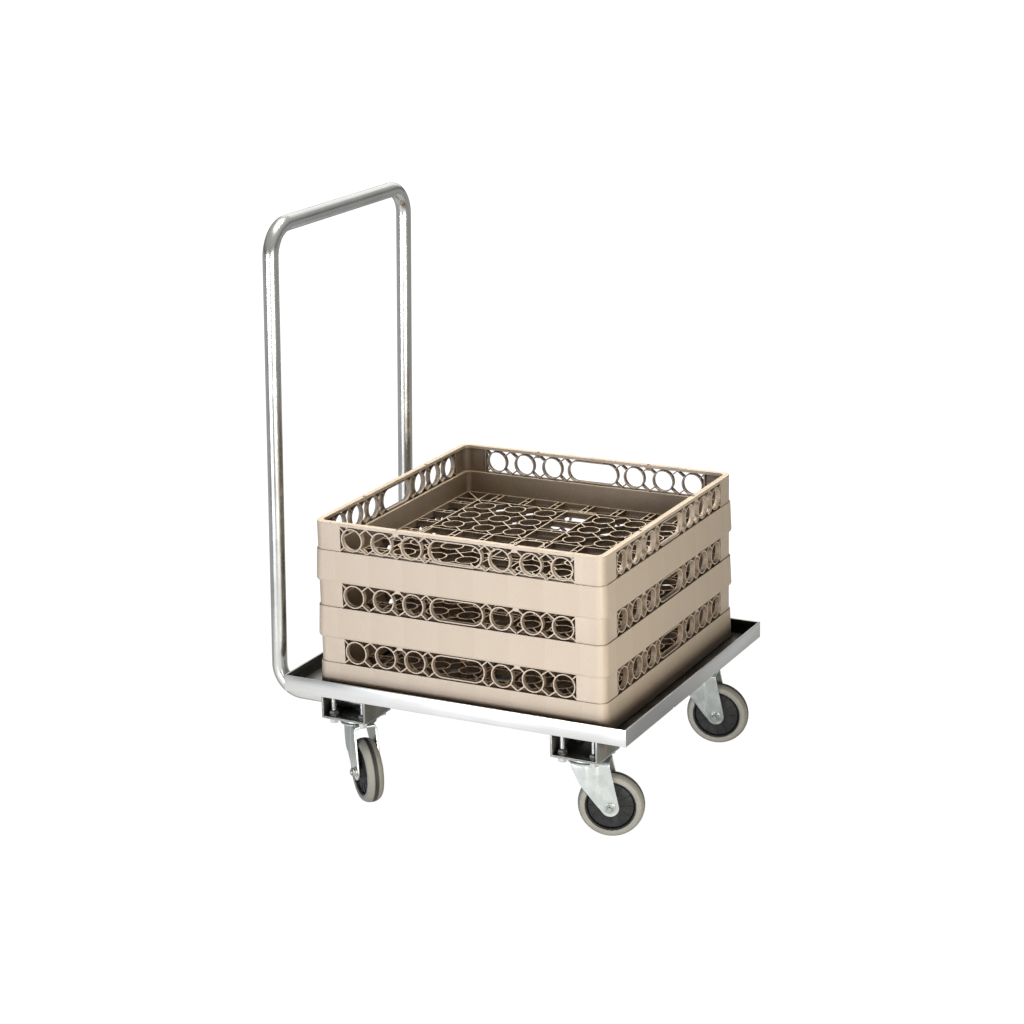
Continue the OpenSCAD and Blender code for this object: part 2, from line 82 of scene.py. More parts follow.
class Val:
    """A socket that can be used in Python sums; a sum adds its Math nodes."""

    def __init__(self, graph, socket):
        self.graph = graph
        self.socket = socket

    def math(self, operation, *others):
        values = dict(enumerate((self,) + others))
        return self.graph.add("ShaderNodeMath", {"operation": operation}, values)

    def __add__(self, other):
        return self.math("ADD", other)

    def __radd__(self, other):
        return self.math("ADD", other)

    def __sub__(self, other):
        return self.math("SUBTRACT", other)

    def __rsub__(self, other):
        return (self * -1.0).math("ADD", other)

    def __mul__(self, other):
        return self.math("MULTIPLY", other)

    def __truediv__(self, other):
        return self.math("DIVIDE", other)

    def __gt__(self, other):
        return self.math("GREATER_THAN", other)

    def __lt__(self, other):
        return self.math("LESS_THAN", other)

    def __abs__(self):
        return self.math("ABSOLUTE")

    def fract(self):
        return self.math("FRACT")

    def largest(self, other):
        return self.math("MAXIMUM", other)

    def smallest(self, other):
        return self.math("MINIMUM", other)

    def ramp(self, low, high, a=0.0, b=1.0):
        """Goes smoothly from a at low to b at high."""
        values = {"Value": self, "From Min": low, "From Max": high, "To Min": a, "To Max": b}
        return self.graph.add("ShaderNodeMapRange", {"interpolation_type": "SMOOTHSTEP"}, values)


class Graph:
    """Adds nodes to one tree."""

    def __init__(self, tree):
        self.tree = tree

    def add(self, kind, settings=None, values=None, out=0):
        """A new node; its output is a Val. A list of values links them all to one socket."""
        node = self.tree.nodes.new(kind)
        for key, value in (settings or {}).items():
            setattr(node, key, value)
        for key, value in (values or {}).items():
            for one in value if isinstance(value, list) else [value]:
                if isinstance(one, Val):
                    self.tree.links.new(one.socket, node.inputs[key])
                else:
                    node.inputs[key].default_value = one
        return Val(self, node.outputs[out])

    def place(self):
        """Object coordinates, which every piece shares with the world."""
        return self.add("ShaderNodeTexCoord", out=3)

    def parts(self, vector):
        """The x, y and z of a vector."""
        first = self.add("ShaderNodeSeparateXYZ", None, {0: vector})
        return [Val(self, first.socket.node.outputs[i]) for i in range(3)]

    def rays(self):
        """1 for a camera ray, for a glossy ray and for a transmission ray."""
        path = self.add("ShaderNodeLightPath")
        names = ("Is Camera Ray", "Is Glossy Ray", "Is Transmission Ray")
        return [Val(self, path.socket.node.outputs[name]) for name in names]

    def colour(self, factor, a, b):
        """Colour a where the factor is 0, b where it is 1."""
        values = {0: factor}
        for key, value in ((6, a), (7, b)):
            values[key] = value if isinstance(value, Val) else (*value, 1.0)
        return self.add("ShaderNodeMix", {"data_type": "RGBA"}, values, out=2)

    def end(self, kind, shader):
        """Links a shader to the tree's output node."""
        output = self.tree.nodes.new(kind)
        self.tree.links.new(shader, output.inputs["Surface"])


class Paint(Graph):
    """One material: a Principled shader and what feeds it."""

    def __init__(self, name, metallic=0.0, specular=0.5):
        self.material = bpy.data.materials.new(name)
        self.material.use_nodes = True
        super().__init__(self.material.node_tree)
        self.tree.nodes.clear()
        self.shader = self.tree.nodes.new("ShaderNodeBsdfPrincipled")
        self.shader.inputs["Metallic"].default_value = metallic
        self.shader.inputs["Specular IOR Level"].default_value = specular
        self.end("ShaderNodeOutputMaterial", self.shader.outputs[0])

    def uv(self):
        return self.add("ShaderNodeUVMap", {"uv_map": "around"})

    def stretch(self, vector, x, y, z):
        return self.add("ShaderNodeMapping", None, {"Vector": vector, "Scale": (x, y, z)})

    def noise(self, vector, scale, detail=3.0, rough=0.55):
        values = {"Vector": vector, "Scale": scale, "Detail": detail, "Roughness": rough}
        return self.add("ShaderNodeTexNoise", None, values)

    def cells(self, vector, scale):
        return self.add("ShaderNodeTexVoronoi", None, {"Vector": vector, "Scale": scale})

    def bump(self, height, depth, strength=1.0, base=None):
        values = {"Height": height, "Distance": depth, "Strength": strength}
        if base is not None:
            values["Normal"] = base
        return self.add("ShaderNodeBump", None, values)

    def soft_edges(self, radius):
        return self.add("ShaderNodeBevel", {"samples": 4}, {"Radius": radius})

    def corner_shade(self, distance, low, high):
        """0 in tight corners, 1 on open faces: the factor by which the materials paint shade into tight
        corners.
        """
        settings = {"samples": 8, "only_local": False}
        return self.add("ShaderNodeAmbientOcclusion", settings, {"Distance": distance}, out=1).ramp(low, high)

    def feed(self, **links):
        for name, value in links.items():
            self.tree.links.new(value.socket, self.shader.inputs[name.replace("_", " ").title()])
        return self.material


def toned(base, *shares):
    """A colour times one share, or times three."""
    return tuple(min(1.0, c * share) for c, share in zip(base, shares * 3))


# ---------------------------------------------------------------- materials


def satin_steel(name, base, rough, grain):
    """Brushed stainless: fine scratches along one direction, a slight cloudiness, and painted shade in tight
    corners.
    """
    paint = Paint(name, metallic=1.0)
    place = paint.place()
    scratches = paint.noise(paint.stretch(place, *grain), 1.0, 5.0, 0.7)
    cloud = paint.noise(place, 9.0, 2.0)
    smear = paint.noise(paint.stretch(place, 30, 30, 12), 1.0, 4.0)
    tone = (scratches * 0.5 + cloud * 0.35 + smear * 0.15).ramp(0.32, 0.68)
    sheet = paint.colour(tone, toned(base, 0.95), toned(base, 1.02))
    # Painted shade: the colour falls to a tenth of the steel's in tight corners, such as between the racks and
    # the tray's lip.
    body = paint.colour(paint.corner_shade(0.09, 0.25, 0.8), toned(base, 0.1), sheet)
    value = scratches.ramp(0.3, 0.7, rough - 0.05, rough + 0.06) + cloud.ramp(0.35, 0.65, -0.03, 0.04)
    normal = paint.bump(scratches, 0.00001, 0.3, paint.soft_edges(0.0006))
    return paint.feed(base_color=body, roughness=value, normal=normal)


def tube_steel(name, base, rough, bar_from):
    """Polished stainless tube: fine lines run up the legs and, above bar_from, along the bar."""
    paint = Paint(name, metallic=1.0)
    place = paint.place()
    upright = paint.noise(paint.stretch(place, 900, 900, 6), 1.0, 4.0, 0.6)
    across = paint.noise(paint.stretch(place, 900, 6, 900), 1.0, 4.0, 0.6)
    bar = paint.parts(place)[2].ramp(bar_from, bar_from + 0.03)
    lines = upright * (1.0 - bar) + across * bar
    cloud = paint.noise(place, 14.0, 3.0)
    tone = (lines * 0.4 + cloud * 0.6).ramp(0.34, 0.66)
    body = paint.colour(tone, toned(base, 0.91), toned(base, 1.03))
    value = lines.ramp(0.3, 0.7, rough - 0.02, rough + 0.03) + cloud.ramp(0.35, 0.65, -0.02, 0.03)
    return paint.feed(base_color=body, roughness=value, normal=paint.bump(lines, 0.00003, 0.15))


def zinc(name, base, rough):
    """Zinc plate: faint spangle, a green tinge and dull marks."""
    paint = Paint(name, metallic=0.9)
    place = paint.place()
    spangle = paint.cells(place, 260.0)
    cloud = paint.noise(place, 45.0, 4.0, 0.6)
    marks = paint.noise(place, 160.0, 5.0, 0.65)
    tone = (cloud * 0.7 + spangle * 0.2 + marks * 0.3).ramp(0.38, 0.8)
    body = paint.colour(tone, toned(base, 0.93, 0.96, 0.94), toned(base, 1.04))
    value = cloud.ramp(0.35, 0.65, rough - 0.04, rough + 0.05) + marks.ramp(0.5, 0.7, 0.0, 0.08)
    normal = paint.bump(marks, 0.00005, 0.5, paint.soft_edges(0.0005))
    return paint.feed(base_color=body, roughness=value, normal=normal)


def dull_steel(name, base, rough):
    """Dull sheet steel, darker in patches, with painted shade that goes nearly black in tight corners."""
    paint = Paint(name, metallic=0.75)
    place = paint.place()
    cloud = paint.noise(place, 30.0, 4.0, 0.6)
    fine = paint.noise(place, 400.0, 3.0)
    tone = (cloud * 0.75 + fine * 0.25).ramp(0.36, 0.66)
    sheet = paint.colour(tone, toned(base, 0.6), base)
    # Painted shade: the colour goes nearly black in tight corners, such as inside the brackets.
    body = paint.colour(paint.corner_shade(0.05, 0.3, 0.75), toned(base, 0.03), sheet)
    value = fine.ramp(0.3, 0.7, rough - 0.05, rough + 0.08)
    normal = paint.bump(fine, 0.00003, 0.4, paint.soft_edges(0.0004))
    return paint.feed(base_color=body, roughness=value, normal=normal)


def rack_plastic(name, base, centre, floor_z, pitch, top_z):
    """Moulded plastic: woven skirts with faint upright flow bands, smooth bands above, and painted shade in the
    skirts' woven grooves, the rim's pin holes and the racks' deep insides.
    """
    paint = Paint(name)
    place = paint.place()
    x, y, z = paint.parts(place)
    from_x, from_y = abs(x - centre[0]), abs(y - centre[1])
    across, side = from_x.largest(from_y), from_x.smallest(from_y)
    level = ((z - floor_z) / pitch).fract() * pitch
    skirt = (across > RACK_HALF + 0.0004) * (level < SKIRT_HEIGHT)
    flow = paint.noise(paint.stretch(place, 26, 26, 1.5), 1.0, 2.0)
    cloud = paint.noise(place, 12.0, 3.0)
    dust = paint.noise(place, 240.0, 4.0, 0.6)
    tone = (flow * 0.45 + cloud * 0.35 + dust * 0.2).ramp(0.36, 0.66)
    dark = toned(base, 0.93, 0.91, 0.88)
    body = paint.colour(tone, dark, toned(base, 1.05, 1.06, 1.08))
    inward = across - (RACK_HALF - RIM_MIDDLE)
    rim_line = (abs(inward) < 0.0004) * (z > top_z - 0.0006)
    body = paint.colour(rim_line * 0.35, body, toned(base, 0.6))
    along = side - PIN_PLACE
    # Painted shade: each pin hole in the rim is a nearly black disc.
    pin_hole_shade = ((along * along + inward * inward).math("SQRT") < PIN_RADIUS) * (z > top_z - 0.007)
    body = paint.colour(pin_hole_shade * 0.9, body, toned(base, 0.08))
    body = paint.colour(skirt * 0.85, body, toned(base, 1.17))
    u, v, w = paint.parts(paint.stretch(place, WEAVE, WEAVE, WEAVE))
    weave_and_shade = (u + v + w).math("SINE").largest((u + v - w).math("SINE"))
    # Painted shade: the woven texture's grooves are painted darker on the skirts, besides their bump.
    body = paint.colour(weave_and_shade.ramp(0.2, 0.9) * skirt, body, toned(base, 0.87))
    band = ((side + 0.028) / FLOW_BAND).fract()
    body = paint.colour(band * skirt * 0.5, body, dark)
    # Painted shade: the plastic turns dark brown in the racks' deep insides and low down by the tray.
    body = paint.colour(paint.corner_shade(0.3, 0.25, 0.8), toned(base, 0.28, 0.22, 0.17), body)
    pebble = paint.noise(place, 900.0, 2.0)
    tiny = paint.noise(place, 1500.0, 2.0) * 0.12
    height = (pebble - weave_and_shade * 0.5) * skirt + tiny - rim_line * 1.5
    value = 0.42 + skirt * 0.14 + cloud.ramp(0.35, 0.65, -0.03, 0.04)
    normal = paint.bump(height, 0.00016, 0.8, paint.soft_edges(0.0005))
    return paint.feed(base_color=body, roughness=value, normal=normal)


def tyre_rubber(name, base, tread_from):
    """Grey rubber: matt side walls, a scuffed tread with painted shade in a dark band along its middle groove,
    and a few specks.
    """
    paint = Paint(name, specular=0.3)
    place = paint.place()
    across = abs(paint.parts(paint.uv())[1])
    cloud = paint.noise(place, 55.0, 3.0)
    fine = paint.noise(place, 700.0, 3.0)
    specks = paint.cells(place, 150.0).ramp(0.05, 0.09, 1.0, 0.0)
    few = paint.noise(place, 38.0, 1.0).ramp(0.6, 0.64)
    tread = across.ramp(tread_from + 0.0006, tread_from, 0.0, 1.0)
    groove = across.ramp(0.0026, 0.0046, 0.94, 0.0)
    body = paint.colour(cloud.ramp(0.35, 0.65), toned(base, 0.9), base)
    body = paint.colour(tread * 0.35, body, toned(base, 0.72))
    # Painted shade: a nearly black band along the tread's middle, wider than the groove in the mesh.
    body = paint.colour(groove, body, toned(base, 0.06))
    body = paint.colour(specks * few * 0.5, body, toned(base, 0.3))
    value = cloud.ramp(0.3, 0.7, 0.46, 0.58) + fine * 0.06
    return paint.feed(base_color=body, roughness=value, normal=paint.bump(fine, 0.00006, 0.5))


def hub_plastic(name, base):
    """Black moulded hub, a little dusty, with a blacker ring in its groove."""
    paint = Paint(name, specular=0.09)
    place = paint.place()
    cloud = paint.noise(place, 60.0, 4.0, 0.6)
    fine = paint.noise(place, 900.0, 3.0)
    dust = tuple(c * 1.5 + 0.003 for c in base)
    body = paint.colour(cloud.ramp(0.4, 0.7) * 0.8, base, dust)
    radius = paint.parts(paint.uv())[1]
    ring = radius.ramp(0.0350, 0.0356) * radius.ramp(0.0371, 0.0376, 1.0, 0.0)
    body = paint.colour(ring, body, toned(base, 0.2))
    value = cloud.ramp(0.3, 0.7, 0.44, 0.58)
    return paint.feed(base_color=body, roughness=value, normal=paint.bump(fine, 0.00004, 0.4))


# ---------------------------------------------------------------- mesh helpers


def metres(points):
    """Points in metres from points in millimetres."""
    return [(r * MM, h * MM) for r, h in points]


def both_sides(half):
    """A whole section in metres from its upper half in millimetres."""
    return metres(half + [(r, -h) for r, h in reversed(half) if h])


def linked(name, data):
    """A new object in the scene."""
    thing = bpy.data.objects.new(name, data)
    bpy.context.scene.collection.objects.link(thing)
    return thing


def finished(name, mesh, material, body, replaced=(), sharp=35.0):
    """Puts one mesh in the scene as a piece that rides on a body."""
    mesh.name = name
    mesh.materials.clear()
    mesh.materials.append(material)
    for face in mesh.polygons:
        face.use_smooth = True
        face.material_index = 0
    mesh.set_sharp_from_angle(angle=math.radians(sharp))
    piece = linked(name, mesh)
    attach(piece, body)
    if replaced:
        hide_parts(*replaced)


def repaint(node, material):
    """Gives a CAD node that is shown as it is its material."""
    for slot in frame["nodes"][node].material_slots:
        slot.material = material


def mesh_of(bm, outward=False):
    """The mesh of a BMesh, which is freed."""
    if outward:
        bmesh.ops.recalc_face_normals(bm, faces=bm.faces)
    mesh = bpy.data.meshes.new("piece")
    bm.to_mesh(mesh)
    bm.free()
    return mesh


def lathe(bm, outline, steps, mapped=1):
    """Turns (radius, height) points about Z; the map holds the angle and the radius (0) or height (1)."""
    layer = bm.loops.layers.uv.get("around") or bm.loops.layers.uv.new("around")
    rings = []
    for k in range(steps):
        angle = 2 * math.pi * k / steps
        c, s = math.cos(angle), math.sin(angle)
        rings.append([bm.verts.new((r * c, r * s, h)) for r, h in outline])
    for k in range(steps):
        here, after = rings[k], rings[(k + 1) % steps]
        for i in range(len(outline)):
            j = (i + 1) % len(outline)
            face = bm.faces.new((here[i], after[i], after[j], here[j]))
            corners = ((k, i), (k + 1, i), (k + 1, j), (k, j))
            for loop, (a, b) in zip(face.loops, corners):
                loop[layer].uv = (a / steps, outline[b][mapped])


def bevelled(spare, radius, angle):
    """Rounds the edges of an object that are sharper than an angle in degrees."""
    edge = spare.modifiers.new("edge", "BEVEL")
    edge.width = radius
    edge.segments = 2
    edge.limit_method = "ANGLE"
    edge.angle_limit = math.radians(angle)


def baked(spare):
    """The mesh that an object's modifiers make; the object goes."""
    graph = bpy.context.evaluated_depsgraph_get()
    graph.update()
    result = bpy.data.meshes.new_from_object(spare.evaluated_get(graph))
    bpy.data.objects.remove(spare)
    return result


def rounded_copy(node, radius):
    """A CAD node's mesh, merged, with its sharp edges rounded a little."""
    bm = bmesh.new()
    bm.from_mesh(frame["nodes"][node].data)
    bmesh.ops.remove_doubles(bm, verts=bm.verts, dist=1e-6)
    bmesh.ops.dissolve_limit(bm, angle_limit=math.radians(1.0), verts=bm.verts, edges=bm.edges)
    spare = linked("spare", mesh_of(bm))
    bevelled(spare, radius, 30.0)
    return baked(spare)


def grown(tree, values):
    """The plain mesh that a Geometry Nodes tree makes with these inputs."""
    spare = linked("spare", bpy.data.meshes.new("spare"))
    modifier = spare.modifiers.new("grow", "NODES")
    modifier.node_group = tree
    for item in tree.interface.items_tree:
        if item.item_type == "SOCKET" and item.in_out == "INPUT" and item.name in values:
            modifier[item.identifier] = values[item.name]
    return baked(spare)


class Growth(Graph):
    """A Geometry Nodes tree with named inputs."""

    def __init__(self, name, **inputs):
        tree = bpy.data.node_groups.new(name, "GeometryNodeTree")
        super().__init__(tree)
        tree.interface.new_socket("Geometry", in_out="OUTPUT", socket_type="NodeSocketGeometry")
        for key, value in inputs.items():
            kind = "NodeSocketInt" if isinstance(value, int) else "NodeSocketFloat"
            socket = tree.interface.new_socket(key, in_out="INPUT", socket_type=kind)
            socket.default_value = value
        tree.interface.new_socket("Material", in_out="INPUT", socket_type="NodeSocketMaterial")
        self.start = tree.nodes.new("NodeGroupInput")

    def input(self, name):
        return Val(self, self.start.outputs[name])

    def point(self, x=0.0, y=0.0, z=0.0):
        return self.add("ShaderNodeCombineXYZ", None, {"X": x, "Y": y, "Z": z})

    def moved(self, shape, x=0.0, y=0.0, z=0.0, turn=None):
        values = {"Geometry": shape, "Translation": self.point(x, y, z)}
        if turn is not None:
            values["Rotation"] = turn
        return self.add("GeometryNodeTransform", None, values)

    def cylinder(self, sides, radius, depth, rows=1):
        values = {"Vertices": sides, "Side Segments": rows, "Radius": radius, "Depth": depth}
        return self.add("GeometryNodeMeshCylinder", None, values)

    def cone(self, sides, top, bottom, depth):
        values = {"Vertices": sides, "Radius Top": top, "Radius Bottom": bottom, "Depth": depth}
        return self.add("GeometryNodeMeshCone", None, values)

    def join(self, *shapes):
        return self.add("GeometryNodeJoinGeometry", None, {0: list(shapes)})

    def spread(self, points, shape, turn=None):
        values = {"Points": points, "Instance": shape}
        if turn is not None:
            values["Rotation"] = turn
        return self.add("GeometryNodeInstanceOnPoints", None, values)

    def on_corners(self, shape):
        """One copy of a shape on each corner of the bolt pattern."""
        values = {"Size X": self.input("SpacingX"), "Size Y": self.input("SpacingY")}
        values.update({"Vertices X": 2, "Vertices Y": 2})
        return self.spread(self.add("GeometryNodeMeshGrid", None, values), shape)

    def done(self, shape):
        """Ends the tree: real geometry, painted."""
        real = self.add("GeometryNodeRealizeInstances", None, {0: shape})
        values = {"Geometry": real, "Material": self.input("Material")}
        painted = self.add("GeometryNodeSetMaterial", None, values)
        output = self.tree.nodes.new("NodeGroupOutput")
        self.tree.links.new(painted.socket, output.inputs[0])
        return self.tree


def thread(grow, radius, pitch, depth, length):
    """A rod whose skin rises and falls in one helix."""
    rows = grow.add("FunctionNodeFloatToInt", None, {0: length / pitch * 4.0})
    rod = grow.cylinder(16, radius, length, rows)
    place = grow.add("GeometryNodeInputPosition")
    x, y, z = grow.parts(place)
    turn = y.math("ARCTAN2", x) / (2 * math.pi)
    wave = abs((z / pitch - turn).fract() - 0.5) * 2.0
    inward = wave * depth / radius * -1.0
    offset = grow.point(x * inward, y * inward, 0.0)
    return grow.add("GeometryNodeSetPosition", None, {"Geometry": rod, "Offset": offset})


def plate_bolts_tree():
    """Four hex bolts on a rectangle, heads down, with their feet at z = 0."""
    grow = Growth(
        "plate_bolts", Radius=0.004, Length=0.037, Pitch=0.00125, Flats=0.013, Head=CAD_HEAD, **PATTERN)
    chamfer = 0.0012
    flats, head = grow.input("Flats"), grow.input("Head")
    corner = flats / math.sqrt(3)
    length = grow.input("Length")
    rod = thread(grow, grow.input("Radius"), grow.input("Pitch"), 0.0005, length)
    rod = grow.moved(rod, z=length / 2.0)
    hexagon = grow.moved(grow.cylinder(6, corner, head - chamfer), z=head * -0.5 + chamfer / 2)
    face = grow.moved(grow.cone(24, flats * 0.5, flats * 0.4, chamfer), z=head * -1.0 + chamfer / 2)
    return grow.done(grow.on_corners(grow.join(rod, hexagon, face)))


def flange_nuts_tree():
    """Four flange nuts on a rectangle, standing on z = 0."""
    grow = Growth("flange_nuts", Flats=0.013, Height=0.008, Flange=0.008, FlangeHeight=0.0015, **PATTERN)
    slope_rise, chamfer = 0.0016, 0.001
    flats, height, flange = grow.input("Flats"), grow.input("Height"), grow.input("FlangeHeight")
    corner = flats / math.sqrt(3)
    foot = grow.moved(grow.cylinder(32, grow.input("Flange"), flange), z=flange * 0.5)
    slope = grow.cone(32, flats * 0.5, grow.input("Flange"), slope_rise)
    slope = grow.moved(slope, z=flange + slope_rise / 2)
    body = grow.cylinder(6, corner, height - flange - chamfer)
    body = grow.moved(body, z=(height + flange - chamfer) * 0.5)
    top = grow.moved(grow.cone(24, flats * 0.40, flats * 0.5, chamfer), z=height - chamfer / 2)
    return grow.done(grow.on_corners(grow.join(foot, slope, body, top)))


def hub_ribs_tree():
    """Thin ribs that radiate from the boss on both faces of a hub."""
    grow = Growth("hub_ribs", Count=12, Inner=0.0145, Outer=0.0352, Width=0.0014, Rise=0.0024, Face=0.0094)
    inner, outer = grow.input("Inner"), grow.input("Outer")
    size = grow.point(outer - inner, grow.input("Width"), grow.input("Rise"))
    rib = grow.add("GeometryNodeMeshCube", None, {"Size": size})
    values = {"Vertices": grow.input("Count"), "Radius": (inner + outer) * 0.5}
    ring = grow.add("GeometryNodeMeshCircle", None, values)
    place = grow.add("GeometryNodeInputPosition")
    turn = grow.add("FunctionNodeAlignRotationToVector", {"axis": "X"}, {"Vector": place})
    ribs = grow.spread(ring, rib, turn)
    face = grow.input("Face")
    return grow.done(grow.join(grow.moved(ribs, z=face), grow.moved(ribs, z=face * -1.0)))


def weld_tree():
    """A straight weld bead: overlapping flat drops along X."""
    grow = Growth("weld", Length=0.07, Step=0.0016, Radius=0.0022)
    length, step = grow.input("Length"), grow.input("Step")
    count = grow.add("FunctionNodeFloatToInt", None, {0: length / step})
    values = {"Count": count, "Start Location": grow.point(length * -0.5), "Offset": grow.point(step)}
    line = grow.add("GeometryNodeMeshLine", None, values)
    values = {"Segments": 10, "Rings": 6, "Radius": grow.input("Radius")}
    return grow.done(grow.spread(line, grow.add("GeometryNodeMeshUVSphere", None, values)))


# ---------------------------------------------------------------- casters


def caster_place(end):
    """Where a caster stands and how it is turned, from its two joints."""
    swivel = JOINTS["swivel_" + ENDS[end]]
    wheel = JOINTS["wheel_" + ENDS[end] + "_spin"]
    ax, ay, _ = wheel["axis"]
    turn = math.atan2(ax, -ay)
    x, y, _ = swivel["pos_m"]
    return Matrix.Translation((x, y, 0.0)) @ Matrix.Rotation(turn, 4, "Z")


def axle_reach(end):
    """How far the axle trails the swivel axis, and its height."""
    wheel = Vector(JOINTS["wheel_" + ENDS[end] + "_spin"]["pos_m"])
    swivel = Vector(JOINTS["swivel_" + ENDS[end]]["pos_m"])
    return (wheel.xy - swivel.xy).length, wheel.z


def axle_place(end):
    """Turns a shape about Z into one about a wheel's axle."""
    trail, height = axle_reach(end)
    across = Matrix.Translation((trail, 0.0, height)) @ Matrix.Rotation(math.radians(90), 4, "X")
    return caster_place(end) @ across


def between(points, value):
    """Straight-line interpolation in a list of (value, result) pairs."""
    if value <= points[0][0]:
        return points[0][1]
    for (a, ra), (b, rb) in zip(points, points[1:]):
        if value <= b:
            return ra + (rb - ra) * (value - a) / (b - a)
    return points[-1][1]


def smooth(low, high, value):
    """0 below low, 1 above high, with a soft start and end."""
    t = min(1.0, max(0.0, (value - low) / (high - low)))
    return t * t * (3 - 2 * t)


def fork_rows(sizes):
    """Points over a fork's outer skin in mm, row by row: up one leg and in to the middle of the crown."""
    trail, axle_z = (v / MM for v in axle_reach("fr"))
    crown_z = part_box("fork_fr")[1].z / MM
    end_r, half, columns = 14.0, 19.5, 40
    # Both edges as (height, place) pairs, from where they leave the leg's round end.
    front = [
        (axle_z - end_r * 0.643, trail - end_r * 0.766), (85.0, -6.0), (102.0, -15.0), (117.0, -22.0),
        (crown_z, -22.0),
    ]
    back = [(axle_z + 1.95, trail + end_r * 0.99), (crown_z, 36.0)]

    def span(z):
        """From the leg's front edge to its back edge, around the axle's round end."""
        if z < front[0][0]:
            low = trail - math.sqrt(max(0.0, end_r ** 2 - (z - axle_z) ** 2))
        else:
            low = between(front, z)
        if z < back[0][0]:
            high = trail + math.sqrt(max(0.0, end_r ** 2 - (z - axle_z) ** 2))
        else:
            high = between(back, z)
        return [low + (high - low) * k / columns for k in range(columns + 1)]

    def side(s):
        """How far out the leg stands: round at the front, with two form lines behind."""
        bulge = sizes.bulge / MM
        if s < 0:
            return (half + bulge) * math.sqrt(1 - (s / 36.0) ** 2)
        return half + bulge - bulge * 0.5 * smooth(0.6, 3.2, s) - bulge * 0.5 * smooth(17.0, 19.8, s)

    levels = [axle_z - end_r * math.cos(math.radians(a)) for a in (4, 16, 28, 40, 52, 64, 76, 88)]
    levels += [55.0 + 6.0 * k for k in range(11)]
    fold = sizes.fold / MM
    levels = [z for z in levels if z < crown_z - fold - 1.0] + [crown_z - fold]
    rows = [[(s, side(s), z) for s in span(z)] for z in levels]
    for a in (18, 36, 54, 72, 90):
        c, n = math.cos(math.radians(a)), math.sin(math.radians(a))
        rows.append([(s, side(s) - fold * (1 - c), crown_z - fold + fold * n) for s in span(crown_z - fold)])
    rows.append([(s, 0.0, crown_z) for s, _, _ in rows[-1]])
    return rows


def fork_mesh(sizes):
    """A pressed fork: one folded sheet, 3 mm thick, with a rolled lip round its crown."""
    rows = fork_rows(sizes)
    bm = bmesh.new()
    for sign in (-1, 1):
        grid = [[bm.verts.new((s * MM, sign * y * MM, z * MM)) for s, y, z in row] for row in rows]
        for a, b in zip(grid, grid[1:]):
            for k in range(len(a) - 1):
                corners = (a[k], a[k + 1], b[k + 1], b[k])
                bm.faces.new(corners if sign < 0 else corners[::-1])
    bmesh.ops.remove_doubles(bm, verts=bm.verts, dist=1e-6)
    bmesh.ops.recalc_face_normals(bm, faces=bm.faces)
    up = max(bm.faces, key=lambda f: f.calc_center_median().z)
    if up.normal.z < 0:
        bmesh.ops.reverse_faces(bm, faces=bm.faces)
    spare = linked("spare", mesh_of(bm))
    wall = spare.modifiers.new("wall", "SOLIDIFY")
    wall.thickness = 3.0 * MM
    wall.offset = -1.0
    bevelled(spare, 0.0006, 50.0)
    bm = bmesh.new()
    bm.from_mesh(baked(spare))
    lip = [
        (6.1, 122.42), (27.0, 122.42), (28.6, 122.92), (29.4, 124.02), (29.4, 125.22), (28.6, 126.02),
        (6.1, 126.02),
    ]
    lathe(bm, metres(lip), 72)
    return mesh_of(bm)


def race_mesh():
    """Pressed cup with the rolled lip that holds the balls."""
    outline = [
        (6.0, 126.1), (22.0, 126.1), (25.5, 126.3), (27.3, 127.0), (27.9, 128.2), (27.7, 129.6), (26.6, 130.5),
        (25.4, 130.9), (25.0, 131.6), (25.2, 132.6), (25.9, 133.4), (26.6, 134.0), (6.0, 134.0),
    ]
    return turned_mesh(metres(outline), 96)


def nut_mesh(flats, height, base, bore):
    """Hex nut about Z from base up, its corners cut back by a cone."""
    bm = bmesh.new()
    sides, dish = 48, 0.0008
    corner = flats / math.sqrt(3)
    # Height and largest reach of each ring: up the outside, then down the bore.
    steps = [
        (0.0, corner * 0.97), (dish, corner), (height - dish, corner), (height, corner * 0.90),
        (height, bore * 1.12), (height - 0.0006, bore), (0.0, bore),
    ]
    rings = []
    for h, limit in steps:
        ring = []
        for k in range(sides):
            angle = 2 * math.pi * k / sides
            reach = (flats / 2) / math.cos((angle + math.pi / 6) % (math.pi / 3) - math.pi / 6)
            reach = min(reach, limit)
            ring.append(bm.verts.new((reach * math.cos(angle), reach * math.sin(angle), base + h)))
        rings.append(ring)
    bridged(bm, rings)
    return mesh_of(bm, outward=True)


def bridged(bm, rings):
    """Faces from each ring of points to the next, and from the last to the first."""
    for a, b in zip(rings, rings[1:] + rings[:1]):
        for k in range(len(a)):
            j = (k + 1) % len(a)
            bm.faces.new((a[k], a[j], b[j], b[k]))


def rounded_square(half, radius):
    """Points round a square with round corners, six steps to a corner."""
    steps = 6
    points = []
    for k in range(4):
        turn = math.pi / 2 * k
        for i in range(steps + 1):
            angle = turn + math.pi / 2 * i / steps
            middle = turn + math.pi / 4
            x = (half - radius) * math.sqrt(2) * math.cos(middle) + radius * math.cos(angle)
            y = (half - radius) * math.sqrt(2) * math.sin(middle) + radius * math.sin(angle)
            points.append((x, y))
    return points


def floor_rail_mesh(half, width, radius, low, high):
    """Rail that closes a rack's floor grid along its inner walls."""
    bm = bmesh.new()
    outer, inner = rounded_square(half, radius), rounded_square(half - width, radius - width)
    rings = []
    for points, z in ((outer, low), (outer, high), (inner, high), (inner, low)):
        rings.append([bm.verts.new((x, y, z)) for x, y in points])
    bridged(bm, rings)
    return mesh_of(bm, outward=True)


